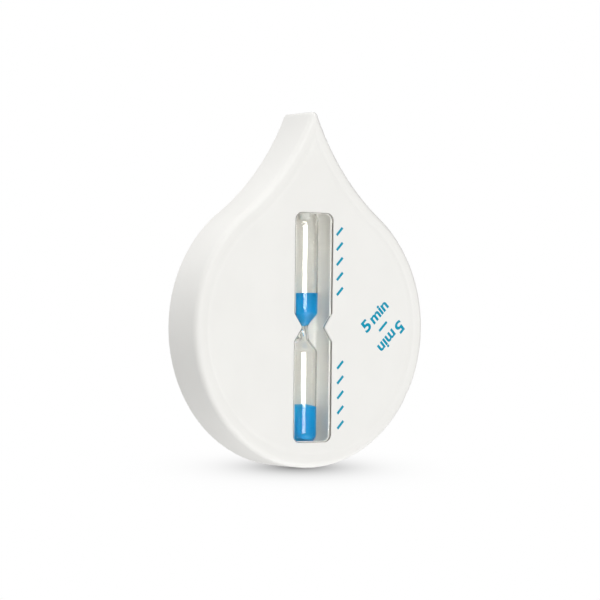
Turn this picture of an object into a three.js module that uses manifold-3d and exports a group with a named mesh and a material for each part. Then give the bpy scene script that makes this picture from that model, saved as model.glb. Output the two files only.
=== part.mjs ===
// Shower sand timer: a drop-shaped case with a glass sand vial, which swivels on a suction cup.
// Millimetres, +Z up. The wall is the plane Y = 0, the swivel axis is Y and the face looks along -Y.
// Depths are measured from the face towards the wall.

import * as THREE from 'three';
import { mergeVertices } from 'three/addons/utils/BufferGeometryUtils.js';
import Module from 'manifold-3d';

const wasm = await Module();
wasm.setup();

// Clearances
const seatGap = 0.3;
const runningGap = 0.3;
const glueGap = 0.1;
const screwGap = 0.2;

// Glass vial
const vialDiameter = 8.9;
const vialWall = 0.8;
const vialLength = 78;
const vialEndRadius = 3;
const vialNeckDiameter = 3;
const vialNeckBore = 1.2;
const vialNeckLength = 1.4;
const vialShoulder = 5;
const fillHoleDiameter = 3.2;
const stopperLength = 2.4;
const padThickness = 1.2;

// Sand: the upper level is measured from the waist, the lower depth from the bulb's floor
const sandGap = 0.12;
const upperSandLevel = 11.7;
const lowerSandDepth = 9.9;
const lowerSandDome = 2.4;

// Window and its clear pane
const windowWidth = 15.8;
const windowCorner = 2.6;
const waistWidth = 9.2;
const notchHeight = 9.5;
const notchRadius = 1;
const paneThickness = 1;
const paneGap = 0.15;
const ledgeWidth = 0.5;
const ledgeThickness = 1;

// Cradle behind the vial
const troughMargin = 0.3;
const cradleWall = 1.2;
const cradleFloor = 1;
const cradleEndWall = 1.4;
const earThickness = 1.6;
const earMargin = 0.5;

// Case
const caseMargin = 2.45;
const sideWall = 2.2;
const rimWall = 1.2;
const edgeRadius = 2.2;
const flankRadius = 84.5;
const tipRise = 25.5;
const tipRadius = 1.6;
const sharpTipRadius = 0.2;
const grooveInset = 4.5;
const grooveWidth = 3;
const grooveDepth = 0.2;

// Rear cover
const coverThickness = 2;
const coverGap = 0.2;
const lipHeight = 2;
const lipWidth = 1.2;
const collarWall = 1.3;

// Suction cup
const cupDiameter = 40;
const cupHeight = 10;
const cupLipWidth = 2.5;
const cupLipThickness = 0.8;
const cupHollowDepth = 6.5;
const cupHollowFullness = 2.6;
const cupHubDiameter = 14;
const cupHubHeight = 2;
const cupDomeFullness = 1.5;
const cupNeckDiameter = 6.4;
const cupHeadDiameter = 10.4;
const cupHeadThickness = 2.7;
const cupHeadChamfer = 0.8;

// Screws
const bossDiameter = 6.4;
const bossToWall = 4;
const bossAngles = [45, 135, 225, 315];
const screwDiameter = 2.4;
const screwLength = 8;
const screwHeadDiameter = 5;
const screwHeadHeight = 1.4;
const cradleBossDiameter = 5.6;
const cradleScrewLength = 6.5;

// Facets
const roundSides = 24;
const cupSides = 36;
const screwSides = 16;
const filletSteps = 4;
const curveSteps = 6;
const bodyArcSteps = 28;
const flankSteps = 9;
const tipSteps = 3;

// Depths of the stack from the face to the wall
const frontWall = paneThickness + glueGap + ledgeThickness;
const vialRadius = vialDiameter / 2;
const axisDepth = paneThickness + seatGap + vialRadius;
const cradleFrontDepth = frontWall + seatGap;
const cradleFloorDepth = axisDepth + vialRadius + seatGap;
const cradleBackDepth = cradleFloorDepth + cradleFloor;
const headFrontDepth = cradleBackDepth + runningGap;
const coverInnerDepth = headFrontDepth + cupHeadThickness + runningGap;
const caseDepth = coverInnerDepth + coverThickness;
const coverSeatDepth = coverInnerDepth - seatGap;
const wallDepth = caseDepth + cupHeight;
const faceY = -wallDepth;

// Lengths along the vial: the opening ends where the vial's rounded end has dropped clear of the wall
const vialHalf = vialLength / 2;
const endDrop = Math.min(frontWall - paneThickness, vialEndRadius);
const openingHalf = vialHalf - vialEndRadius + Math.sqrt(endDrop * (2 * vialEndRadius - endDrop));
const windowHalf = openingHalf + ledgeWidth;
const troughHalf = windowHalf + troughMargin;
const pocketEnd = vialHalf + padThickness + 2 * glueGap;
const cradleHalfLength = pocketEnd + cradleEndWall;
const troughHalfWidth = windowWidth / 2 + troughMargin;
const cradleHalfWidth = troughHalfWidth + cradleWall;
const cradleScrewX = cradleHalfWidth + seatGap + cradleBossDiameter / 2;

// Drop outline: a circle that clears the cradle's corners, two hollow flanks and a rounded tip
const bodyRadius = Math.hypot(cradleHalfLength, cradleHalfWidth) + caseMargin + sideWall;
const tipCentre = bodyRadius + tipRise - tipRadius;
const flankToBody = flankRadius + bodyRadius;
const flankToTip = flankRadius + tipRadius;
const flankZ = (flankToBody ** 2 - flankToTip ** 2 + tipCentre ** 2) / (2 * tipCentre);
const flankX = Math.sqrt(flankToBody ** 2 - flankZ ** 2);
const bossCircle = bodyRadius - sideWall - bossToWall - bossDiameter / 2;

const material = {
  shell: new THREE.MeshStandardMaterial({ color: 0xf0efeb, roughness: 0.35 }),
  clear: new THREE.MeshStandardMaterial({ color: 0xf4f7f8, roughness: 0.05, transparent: true, opacity: 0.2 }),
  glass: new THREE.MeshStandardMaterial({ color: 0xeef2f2, roughness: 0.03, transparent: true, opacity: 0.3 }),
  sand: new THREE.MeshStandardMaterial({ color: 0x148fd4, roughness: 0.9 }),
  stopper: new THREE.MeshStandardMaterial({ color: 0xe9e9e4, roughness: 0.6 }),
  pad: new THREE.MeshStandardMaterial({ color: 0xdcdcd8, roughness: 0.95 }),
  cup: new THREE.MeshStandardMaterial({ color: 0xe6ecee, roughness: 0.25, transparent: true, opacity: 0.7 }),
  screw: new THREE.MeshStandardMaterial({ color: 0xb9bcc0, roughness: 0.3, metalness: 1 }),
};

// Closed solid from a geometry: vertices shared, collapsed triangles dropped, faces pointing out
function solid(geometry) {
  const bare = geometry.clone();
  bare.deleteAttribute('normal');
  bare.deleteAttribute('uv');
  const merged = mergeVertices(bare, 1e-4);
  const points = merged.getAttribute('position').array;
  const triangles = [];
  const index = merged.index.array;
  let volume = 0;
  for (let i = 0; i < index.length; i += 3) {
    const [a, b, c] = index.subarray(i, i + 3);
    if (a === b || b === c || c === a) continue;
    triangles.push(a, b, c);
    const corners = [a, b, c].map((v) => new THREE.Vector3().fromArray(points, 3 * v));
    volume += corners[0].dot(corners[1].cross(corners[2]));
  }
  if (volume < 0) triangles.reverse();
  return new wasm.Manifold(new wasm.Mesh({
    numProp: 3,
    vertProperties: new Float32Array(points),
    triVerts: new Uint32Array(triangles),
  }));
}

function named(name, body, look) {
  const result = body.getMesh();
  const geometry = new THREE.BufferGeometry();
  geometry.setAttribute('position', new THREE.BufferAttribute(result.vertProperties, result.numProp));
  geometry.setIndex(new THREE.BufferAttribute(result.triVerts, 1));
  geometry.computeVertexNormals();
  const mesh = new THREE.Mesh(geometry, look);
  mesh.name = name;
  return mesh;
}

function arc(x, z, radius, from, to, steps) {
  return Array.from({ length: steps + 1 }, (_, i) => {
    const angle = from + ((to - from) * i) / steps;
    return new THREE.Vector2(x + radius * Math.cos(angle), z + radius * Math.sin(angle));
  });
}

// Drop outline moved in by an inset, always with the same number of points
function dropOutline(inset) {
  const tip = Math.max(tipRadius - inset, sharpTipRadius);
  const flank = flankRadius + inset;
  const tipZ = flankZ - Math.sqrt((flank + tip) ** 2 - flankX ** 2);
  const flankStart = Math.atan2(flankZ, flankX);
  const flankEnd = Math.atan2(flankZ - tipZ, flankX);
  const right = [
    ...arc(0, 0, bodyRadius - inset, -Math.PI / 2, flankStart, bodyArcSteps),
    ...arc(flankX, flankZ, flank, Math.PI + flankStart, Math.PI + flankEnd, flankSteps).slice(1),
    ...arc(0, tipZ, tip, flankEnd, Math.PI / 2, tipSteps).slice(1),
  ];
  const left = right.slice(1, -1).reverse().map((p) => new THREE.Vector2(-p.x, p.y));
  return [...right, ...left];
}

// Skin through rings of equal count, each an outline at a depth, closed by flat ends
function loft(rings) {
  const count = rings[0].outline.length;
  const positions = rings.flatMap((ring) => ring.outline.flatMap((p) => [p.x, faceY + ring.depth, p.y]));
  const index = [];
  for (let r = 0; r + 1 < rings.length; r += 1) {
    for (let i = 0; i < count; i += 1) {
      const a = r * count + i;
      const b = r * count + ((i + 1) % count);
      index.push(a, a + count, b, b, a + count, b + count);
    }
  }
  const last = (rings.length - 1) * count;
  for (const [a, b, c] of THREE.ShapeUtils.triangulateShape(rings[0].outline, [])) index.push(a, b, c);
  for (const [a, b, c] of THREE.ShapeUtils.triangulateShape(rings.at(-1).outline, [])) {
    index.push(last + a, last + c, last + b);
  }
  const geometry = new THREE.BufferGeometry();
  geometry.setAttribute('position', new THREE.Float32BufferAttribute(positions, 3));
  geometry.setIndex(index);
  return solid(geometry);
}

function prism(outline, from, to) {
  return loft([{ outline, depth: from }, { outline, depth: to }]);
}

function block(halfWidth, fromZ, toZ, from, to) {
  const corners = [[-halfWidth, fromZ], [halfWidth, fromZ], [halfWidth, toZ], [-halfWidth, toZ]];
  return prism(corners.map(([x, z]) => new THREE.Vector2(x, z)), from, to);
}

// Solid of revolution about a line along Y through (x, z), from points of radius and depth
function turned(profile, x, z, sides) {
  const points = profile.map(([r, depth]) => new THREE.Vector2(r, faceY + depth));
  return solid(new THREE.LatheGeometry(points, sides).translate(x, 0, z));
}

function cylinder(radius, from, to, x, z, sides) {
  return turned([[0, from], [radius, from], [radius, to], [0, to]], x, z, sides);
}

// Solid of revolution about the vial's own axis, from points of radius and height
function turnedOnVial(profile) {
  const geometry = new THREE.LatheGeometry(profile.map(([r, z]) => new THREE.Vector2(r, z)), roundSides);
  return solid(geometry.rotateX(Math.PI / 2).translate(0, faceY + axisDepth, 0));
}

// Hourglass outline of the window, moved in by an inset
function windowOutline(inset) {
  const slope = Math.atan2((windowWidth - waistWidth) / 2, notchHeight / 2);
  const halfWidth = windowWidth / 2 - inset;
  const halfHeight = windowHalf - inset;
  const corner = Math.max(windowCorner - inset, ledgeWidth);
  const waist = waistWidth / 2 - inset / Math.cos(slope);
  const notch = (halfWidth - waist) / Math.tan(slope);
  const vertex = notchRadius + inset;
  const notchArc = arc(waist + vertex / Math.cos(slope), 0, vertex, Math.PI + slope, Math.PI - slope, filletSteps);
  const right = [
    ...arc(halfWidth - corner, corner - halfHeight, corner, -Math.PI / 2, 0, filletSteps),
    new THREE.Vector2(halfWidth, -notch),
    ...notchArc,
    new THREE.Vector2(halfWidth, notch),
    ...arc(halfWidth - corner, halfHeight - corner, corner, 0, Math.PI / 2, filletSteps),
  ];
  return [...right, ...right.map((p) => new THREE.Vector2(-p.x, p.y)).reverse()];
}

function bossPlaces() {
  return bossAngles.map((degrees) => {
    const angle = THREE.MathUtils.degToRad(degrees);
    return [bossCircle * Math.cos(angle), bossCircle * Math.sin(angle)];
  });
}

// Countersunk screw, flush with the rear cover
function caseScrewProfile() {
  return [
    [0, caseDepth - screwLength],
    [screwDiameter / 2, caseDepth - screwLength],
    [screwDiameter / 2, caseDepth - screwHeadHeight],
    [screwHeadDiameter / 2, caseDepth],
    [0, caseDepth],
  ];
}

// Hole for that screw, wider all round and open past both faces of the rear cover
function countersinkProfile() {
  const shank = screwDiameter / 2 + screwGap;
  const head = screwHeadDiameter / 2 + screwGap;
  return [[0, 0], [shank, 0], [shank, caseDepth - screwHeadHeight], [head, caseDepth], [head, wallDepth], [0, wallDepth]];
}

function panScrewProfile() {
  const seat = cradleBackDepth + glueGap;
  return [
    [0, seat - cradleScrewLength],
    [screwDiameter / 2, seat - cradleScrewLength],
    [screwDiameter / 2, seat],
    [screwHeadDiameter / 2, seat],
    [screwHeadDiameter / 2, seat + screwHeadHeight / 2],
    [screwHeadDiameter / 4, seat + screwHeadHeight],
    [0, seat + screwHeadHeight],
  ];
}

// Face with its soft border groove, rounded front edge and straight side wall
function caseSkin() {
  const rings = [];
  for (let i = 0; i <= filletSteps; i += 1) {
    const across = (2 * i) / filletSteps - 1;
    rings.push({
      outline: dropOutline(grooveInset - (across * grooveWidth) / 2),
      depth: (grooveDepth * (1 + Math.cos(Math.PI * across))) / 2,
    });
  }
  for (let i = 0; i <= filletSteps; i += 1) {
    const angle = (Math.PI / 2) * (i / filletSteps);
    rings.push({
      outline: dropOutline(edgeRadius * (1 - Math.sin(angle))),
      depth: edgeRadius * (1 - Math.cos(angle)),
    });
  }
  rings.push({ outline: dropOutline(0), depth: caseDepth });
  return loft(rings);
}

function frontShell() {
  let body = caseSkin()
    .subtract(prism(dropOutline(sideWall), frontWall, wallDepth))
    .subtract(prism(dropOutline(rimWall), coverSeatDepth, wallDepth));
  const pilot = screwDiameter / 2 + screwGap;
  for (const [x, z] of bossPlaces()) {
    const hole = cylinder(pilot, caseDepth - screwLength - seatGap, caseDepth, x, z, screwSides);
    body = body.add(cylinder(bossDiameter / 2, frontWall / 2, coverSeatDepth, x, z, roundSides)).subtract(hole);
  }
  const earFront = cradleBackDepth - earThickness;
  for (const x of [-cradleScrewX, cradleScrewX]) {
    const hole = cylinder(pilot, cradleBackDepth - cradleScrewLength - seatGap, caseDepth, x, 0, screwSides);
    const boss = cylinder(cradleBossDiameter / 2, frontWall / 2, earFront - seatGap, x, 0, roundSides);
    body = body.add(boss).subtract(hole);
  }
  return body
    .subtract(prism(windowOutline(0), -1, paneThickness + glueGap))
    .subtract(prism(windowOutline(ledgeWidth), -1, caseDepth));
}

function windowPane() {
  return prism(windowOutline(paneGap), 0, paneThickness);
}

// Trough with narrow end pockets for the vial and its pads, and an ear on each side
function vialCradle() {
  let body = block(cradleHalfWidth, -cradleHalfLength, cradleHalfLength, cradleFrontDepth, cradleBackDepth);
  const earFront = cradleBackDepth - earThickness;
  const earRadius = cradleBossDiameter / 2 + earMargin;
  for (const x of [-cradleScrewX, cradleScrewX]) {
    body = body.add(cylinder(earRadius, earFront, cradleBackDepth, x, 0, roundSides));
  }
  body = body.add(block(cradleScrewX, -earRadius, earRadius, earFront, cradleBackDepth));
  for (const x of [-cradleScrewX, cradleScrewX]) {
    body = body.subtract(cylinder(screwDiameter / 2 + screwGap, 0, caseDepth, x, 0, screwSides));
  }
  return body
    .subtract(block(troughHalfWidth, -troughHalf, troughHalf, 0, cradleFloorDepth))
    .subtract(block(vialRadius + seatGap, -pocketEnd, pocketEnd, 0, cradleFloorDepth));
}

// Radius of the waist and shoulder at a height, between the neck and the bulb
function shoulderRadius(height, neck, bulb) {
  const t = THREE.MathUtils.clamp((Math.abs(height) - vialNeckLength / 2) / (vialShoulder - vialNeckLength / 2), 0, 1);
  return neck + (bulb - neck) * (t + THREE.MathUtils.smoothstep(t, 0, 1)) / 2;
}

// Heights of the profile points from the waist to the top of the shoulder
function shoulderHeights() {
  const span = vialShoulder - vialNeckLength / 2;
  return Array.from({ length: curveSteps + 1 }, (_, i) => vialNeckLength / 2 + (span * i) / curveSteps);
}

// Upper half of a double bulb, from the waist to the middle of its rounded end
function bulbProfile(neck, bulb, half, endRadius) {
  const shoulder = shoulderHeights().map((z) => [shoulderRadius(z, neck, bulb), z]);
  const end = arc(bulb - endRadius, half - endRadius, endRadius, 0, Math.PI / 2, filletSteps);
  return [...shoulder, ...end.map((p) => [p.x, p.y]), [0, half]];
}

function doubleBulb(neck, bulb, half, endRadius) {
  const upper = bulbProfile(neck, bulb, half, endRadius);
  const lower = upper.map(([r, z]) => [r, -z]).reverse();
  return turnedOnVial([...lower, ...upper]);
}

const bulbRadius = vialRadius - vialWall;
const bulbHalf = vialHalf - vialWall;
const bulbEndRadius = vialEndRadius - vialWall;

function glassVial() {
  const hole = fillHoleDiameter / 2;
  return doubleBulb(vialNeckDiameter / 2, vialRadius, vialHalf, vialEndRadius)
    .subtract(doubleBulb(vialNeckBore / 2, bulbRadius, bulbHalf, bulbEndRadius))
    .subtract(turnedOnVial([[0, bulbHalf - vialWall], [hole, bulbHalf - vialWall], [hole, vialHalf + 1], [0, vialHalf + 1]]));
}

function vialStopper() {
  const radius = fillHoleDiameter / 2 - glueGap;
  const bottom = vialHalf - stopperLength;
  return turnedOnVial([[0, bottom], [radius, bottom], [radius, vialHalf], [0, vialHalf]]);
}

// Sand left above the waist: the funnel of the shoulder, levelled at the top
function upperSand() {
  const funnel = shoulderHeights().map((z) => [shoulderRadius(z, vialNeckBore / 2, bulbRadius) - sandGap, z]);
  const radius = bulbRadius - sandGap;
  return turnedOnVial([[0, funnel[0][1]], ...funnel, [radius, upperSandLevel], [0, upperSandLevel]]);
}

// Sand that has run through: it fills the rounded end and heaps into a low dome
function lowerSand() {
  const radius = bulbRadius - sandGap;
  const floor = sandGap - bulbHalf;
  const corner = bulbEndRadius;
  const end = arc(radius - corner, floor + corner, corner, -Math.PI / 2, 0, filletSteps);
  const level = floor + lowerSandDepth;
  const dome = Array.from({ length: filletSteps + 1 }, (_, i) => {
    const inward = i / filletSteps;
    return [radius * (1 - inward), level + lowerSandDome * Math.sin((Math.PI / 2) * inward)];
  });
  return turnedOnVial([[0, floor], ...end.map((p) => [p.x, p.y]), ...dome]);
}

function endPad(side) {
  const near = side * (vialHalf + glueGap);
  const far = side * (vialHalf + glueGap + padThickness);
  const radius = axisDepth - cradleFrontDepth;
  return turnedOnVial([[0, near], [radius, near], [radius, far], [0, far]]);
}

// Plate in the shell's rim, with a lip inside the wall and a collar round the swivel head
function rearCover() {
  const lipOut = sideWall + seatGap;
  const lip = prism(dropOutline(lipOut), coverInnerDepth - lipHeight, coverInnerDepth + coverThickness / 2)
    .subtract(prism(dropOutline(lipOut + lipWidth), 0, wallDepth));
  const pocket = cupHeadDiameter / 2 + runningGap;
  const collar = cylinder(pocket + collarWall, headFrontDepth, coverInnerDepth + coverThickness / 2, 0, 0, roundSides)
    .subtract(cylinder(pocket, 0, wallDepth, 0, 0, roundSides));
  let body = prism(dropOutline(rimWall + coverGap), coverInnerDepth, caseDepth).add(lip).add(collar)
    .subtract(cylinder(cupNeckDiameter / 2 + runningGap, 0, wallDepth, 0, 0, roundSides));
  for (const [x, z] of bossPlaces()) {
    body = body.subtract(turned(countersinkProfile(), x, z, screwSides));
  }
  return body;
}

// Soft cup: flat lip on the wall, hollow dome, hub, and a mushroom head held in the rear cover
function suctionCup() {
  const lipInner = cupDiameter / 2 - cupLipWidth;
  const hollow = Array.from({ length: curveSteps + 1 }, (_, i) => {
    const out = i / curveSteps;
    return [lipInner * out, wallDepth - cupHollowDepth * (1 - out ** cupHollowFullness)];
  });
  const hub = cupHubDiameter / 2;
  const domeHeight = cupHeight - cupHubHeight - cupLipThickness;
  const dome = Array.from({ length: curveSteps + 1 }, (_, i) => {
    const inward = i / curveSteps;
    const height = domeHeight * (1 - (1 - inward) ** cupDomeFullness);
    return [cupDiameter / 2 + (hub - cupDiameter / 2) * inward, wallDepth - cupLipThickness - height];
  });
  const head = cupHeadDiameter / 2;
  const headBack = headFrontDepth + cupHeadThickness;
  const neck = cupNeckDiameter / 2;
  return turned([
    ...hollow,
    [cupDiameter / 2, wallDepth],
    ...dome,
    [hub, caseDepth + runningGap],
    [neck, caseDepth + runningGap],
    [neck, headBack],
    [head, headBack],
    [head, headFrontDepth + cupHeadChamfer],
    [head - cupHeadChamfer, headFrontDepth],
    [0, headFrontDepth],
  ], 0, 0, cupSides);
}

const timer = new THREE.Group();
timer.add(
  named('front_shell', frontShell(), material.shell),
  named('window_pane', windowPane(), material.clear),
  named('vial_cradle', vialCradle(), material.shell),
  named('glass_vial', glassVial(), material.glass),
  named('vial_stopper', vialStopper(), material.stopper),
  named('sand_upper', upperSand(), material.sand),
  named('sand_lower', lowerSand(), material.sand),
  named('end_pad_upper', endPad(1), material.pad),
  named('end_pad_lower', endPad(-1), material.pad),
  named('rear_cover', rearCover(), material.shell),
  named('suction_cup', suctionCup(), material.cup),
);
bossPlaces().forEach(([x, z], i) => {
  timer.add(named(`case_screw_${i + 1}`, turned(caseScrewProfile(), x, z, screwSides), material.screw));
});
timer.add(
  named('cradle_screw_left', turned(panScrewProfile(), -cradleScrewX, 0, screwSides), material.screw),
  named('cradle_screw_right', turned(panScrewProfile(), cradleScrewX, 0, screwSides), material.screw),
);

export default timer;
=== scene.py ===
# Looks of the shower sand timer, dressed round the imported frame.
# Lengths are millimetres until a mesh is made: the wall is Y = 0, the face looks along -Y and +Z is up.
# Depths are measured from the face towards the wall.

import math
import random

import bmesh
import bpy
from mathutils import Matrix, Vector
from mathutils.geometry import delaunay_2d_cdt


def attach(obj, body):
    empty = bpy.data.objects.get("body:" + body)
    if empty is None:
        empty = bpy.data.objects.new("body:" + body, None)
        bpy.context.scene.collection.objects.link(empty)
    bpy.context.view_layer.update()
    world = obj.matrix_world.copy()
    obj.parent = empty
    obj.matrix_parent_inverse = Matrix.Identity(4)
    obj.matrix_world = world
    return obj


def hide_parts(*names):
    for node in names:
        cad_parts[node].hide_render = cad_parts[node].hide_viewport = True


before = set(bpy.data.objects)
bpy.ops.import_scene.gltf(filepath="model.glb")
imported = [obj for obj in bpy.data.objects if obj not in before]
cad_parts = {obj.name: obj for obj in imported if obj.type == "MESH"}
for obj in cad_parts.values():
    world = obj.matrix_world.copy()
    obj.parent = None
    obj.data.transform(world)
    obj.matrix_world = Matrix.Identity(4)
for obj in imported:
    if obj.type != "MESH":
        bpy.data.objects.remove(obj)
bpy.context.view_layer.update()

MM = 0.001
WELD = 1e-6
FLAT_WELD = 1e-6
INNER_TRIANGLES = 1
WHITE = (1, 1, 1, 1)
BLACK = (0, 0, 0, 1)
SHARP_EDGE = math.radians(32)
TIMER = "timer"
CUP = "mount_cup"

# Clearances
SEAT_GAP = 0.3
RUNNING_GAP = 0.3
GLUE_GAP = 0.1
SCREW_GAP = 0.2

# Glass vial, its stopper and its pads
VIAL_RADIUS = 4.45
VIAL_WALL = 0.5
VIAL_HALF = 39
VIAL_END_RADIUS = 3
NECK_RADIUS = 1.5
NECK_BORE_RADIUS = 0.6
NECK_HALF = 0.7
NECK_DROP = 3.1
SHOULDER = 5
FILL_HOLE_RADIUS = 1.6
STOPPER_LENGTH = 2.4
PAD_THICKNESS = 1.2

BULB_RADIUS = VIAL_RADIUS - VIAL_WALL
BULB_HALF = VIAL_HALF - VIAL_WALL
BULB_END_RADIUS = VIAL_END_RADIUS - VIAL_WALL
STOPPER_EDGE = 0.2
PAD_EDGE = 0.25

# Sand
SAND_GAP = -0.02
UPPER_SAND_LEVEL = 11.7
UPPER_SAND_DIP = 0.5
LOWER_SAND_DEPTH = 11.7
LOWER_SAND_DOME = 0.7
GRAIN_PROUD = 0.05
GRAIN_STEP = 0.18
GRAIN_SEED = 7
SAND_RUN_RADIUS = 0.1
SAND_SIDES = 120

# Window and pane
WINDOW_WIDTH = 15.8
WINDOW_CORNER = 2.6
WAIST_WIDTH = 9.2
NOTCH_HEIGHT = 9.5
NOTCH_RADIUS = 1
PANE_THICKNESS = 1
PANE_GAP = 0.15
PANE_EDGE = 0.12
PANE_ASIDE = -0.1
LEDGE_WIDTH = 0.5
LEDGE_THICKNESS = 1
SIDE_LEDGE = 0.9
WAIST_LEDGE = 0.15
GLUE_SUNK = 0.15
GLUE_FADE = 0.5
GLUE_BITE = 0.01
WINDOW_EDGE = 0.25

# Cradle
TROUGH_MARGIN = 0.3
CRADLE_GAP = 0.05
CRADLE_WALL = 1.2
CRADLE_FLOOR = 1
CRADLE_END_WALL = 1.4
CRADLE_CORNER = 0.8
TROUGH_FILLET = 1
EAR_THICKNESS = 1.6
EAR_MARGIN = 0.5

# Case
CASE_MARGIN = 2.45
SIDE_WALL = 2.2
RIM_WALL = 1.2
EDGE_RADIUS = 2.2
REAR_EDGE = 0.3
FLANK_RADIUS = 84.5
TIP_RISE = 25.5
TIP_RADIUS = 1.6
SHARP_TIP_RADIUS = 0.2
GROOVE_INSET = 4.5
GROOVE_WIDTH = 3
GROOVE_DEPTH = 0.15
SUPPORT = 0.4

# Rear cover
COVER_THICKNESS = 2
COVER_GAP = 0.2
COVER_EDGE = 0.4
LIP_HEIGHT = 2
LIP_WIDTH = 1.2
COLLAR_WALL = 1.3

# Suction cup
CUP_RADIUS = 20
CUP_HEIGHT = 10
CUP_LIP_WIDTH = 2.5
CUP_LIP_THICKNESS = 0.8
CUP_HOLLOW_DEPTH = 6.5
CUP_HOLLOW_FULLNESS = 2.6
CUP_HUB_RADIUS = 7
CUP_HUB_HEIGHT = 2
CUP_DOME_FULLNESS = 1.5
CUP_NECK_RADIUS = 3.2
CUP_HEAD_RADIUS = 5.2
CUP_HEAD_THICKNESS = 2.7
CUP_HEAD_CHAMFER = 0.8
CUP_ROUND = 0.3

# Screws
BOSS_RADIUS = 3.2
BOSS_TO_WALL = 4
BOSS_ANGLES = (45, 135, 225, 315)
SCREW_RADIUS = 1.2
SCREW_LENGTH = 8
SCREW_HEAD_RADIUS = 2.5
SCREW_HEAD_HEIGHT = 1.4
SCREW_TIP = 0.6
CRADLE_BOSS_RADIUS = 2.8
CRADLE_SCREW_LENGTH = 6.5
RECESS_REACH = 1.35
RECESS_HALF_WIDTH = 0.36
RECESS_DEPTH = 0.9
RECESS_TAPER = 0.55
PAN_RECESS = 0.85
HEAD_LAND = 0.2

# Ink on the face; each word of the legend has its text, left end, right end and height
INK_PROUD = 0.02
INK_SUNK = 0.01
TICK_X = 11.13
TICK_HEIGHTS = (12.52, 17.62, 22.72, 27.82, 32.92)
TICK_DROP = 0.15
TICK_LEAN = math.radians(1.1)
TICK_LENGTH = 3.6
TICK_TURN = math.radians(47)
INK_STROKE = 0.9
LEGEND_WORDS = (("5", -6.65, -3.45, 4.35), ("min", -2.25, 6.65, 3.8))
LEGEND_X = 29.63
LEGEND_Z = 0.57
LEGEND_TURN = math.radians(45)
LEGEND_BASELINE = 3.05
LEGEND_WEIGHT = 0.031
DASH_LENGTH = 4.6

# Facets
BODY_STEPS = 96
FLANK_STEPS = 40
TIP_STEPS = 12
FILLET_STEPS = 14
EDGE_STEPS = FILLET_STEPS // 2
FINE_EDGE_STEPS = FILLET_STEPS // 3
GROOVE_STEPS = 16
CORNER_STEPS = 12
ROUND_SIDES = 96
SCREW_SIDES = 48
CURVE_STEPS = 28
SOFT_STEPS = 5
GRID_STEP = 4
GRID_MARGIN = GRID_STEP / 3

# Looks: colours dark to pale, noise as scale and detail, roughness low to high, bump as strength and height
NOISE_RANGE = (0.3, 0.7)
CASE_WHITE = ((0.835, 0.828, 0.8), (0.855, 0.848, 0.82))
# The cradle's white, darkened and warmed as painted shade in the recess
CRADLE_WHITE_PAINTED_SHADE = ((0.78, 0.772, 0.742), (0.8, 0.792, 0.762))
PLASTIC_CLOUD = (70, 3)
PLASTIC_GRAIN = (5200, 2)
PLASTIC_ROUGHNESS = (0.34, 0.46)
PLASTIC_BUMP = (0.12, 0.02)
PLASTIC_IOR = 1.5
PANE_TINT = ((0.99, 0.987, 0.968), (0.994, 0.991, 0.972))
PANE_CLOUD = (160, 3)
PANE_IOR = 1.49
GLASS_TINT = ((0.968, 0.966, 0.957), (0.974, 0.972, 0.963))
GLASS_CLOUD = (60, 1)
GLASS_IOR = 1.47
# Glue's dark brown is painted shade in the gap round the pane
GLUE_BROWN_PAINTED_SHADE = ((0.2, 0.18, 0.155), (0.28, 0.25, 0.22))
GLUE_CLOUD = (900, 3)
GLUE_ROUGHNESS = (0.4, 0.6)
SAND_BLUE = ((0.001, 0.34, 0.67), (0.003, 0.41, 0.745))
SAND_RANGE = (0.1, 0.9)
SAND_GRAIN_SCALE = 4500
SAND_ROUGHNESS = (0.55, 0.85)
SAND_GLOSS = 0.15
SAND_BUMP = (0.5, 0.05)
STOPPER_WHITE = ((0.76, 0.76, 0.735), (0.82, 0.82, 0.795))
STOPPER_CLOUD = (900, 3)
STOPPER_ROUGHNESS = (0.5, 0.65)
STOPPER_BUMP = (0.15, 0.03)
FOAM_WHITE = ((0.66, 0.66, 0.64), (0.8, 0.8, 0.78))
FOAM_RANGE = (0, 0.8)
FOAM_CELL_SCALE = 3200
FOAM_ROUGHNESS = 0.95
FOAM_BUMP = (0.6, 0.12)
VINYL_TINT = (0.9, 0.94, 0.95, 1)
VINYL_CLEARNESS = 0.85
VINYL_IOR = 1.52
VINYL_HAZE = (240, 3)
VINYL_ROUGHNESS = (0.12, 0.24)
VINYL_BUMP = (0.08, 0.1)
STEEL_GREY = ((0.56, 0.565, 0.58), (0.7, 0.705, 0.715))
STEEL_SCUFF = (1400, 4)
STEEL_ROUGHNESS = (0.22, 0.38)
STEEL_BUMP = (0.1, 0.02)
INK_BLUE = ((0.001, 0.28, 0.43), (0.002, 0.32, 0.48))
INK_COVER = (2600, 3)
INK_ROUGHNESS = (0.4, 0.52)
INK_GLOSS = 0.2

# Stack of depths from the face to the wall
FRONT_WALL = PANE_THICKNESS + GLUE_GAP + LEDGE_THICKNESS
AXIS_DEPTH = PANE_THICKNESS + SEAT_GAP + VIAL_RADIUS
CRADLE_FRONT = FRONT_WALL + CRADLE_GAP
CRADLE_FLOOR_DEPTH = AXIS_DEPTH + VIAL_RADIUS + SEAT_GAP
CRADLE_BACK = CRADLE_FLOOR_DEPTH + CRADLE_FLOOR
HEAD_FRONT = CRADLE_BACK + RUNNING_GAP
COVER_INNER = HEAD_FRONT + CUP_HEAD_THICKNESS + RUNNING_GAP
CASE_DEPTH = COVER_INNER + COVER_THICKNESS
COVER_SEAT = COVER_INNER - SEAT_GAP
WALL_DEPTH = CASE_DEPTH + CUP_HEIGHT
FACE_Y = -WALL_DEPTH

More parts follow.
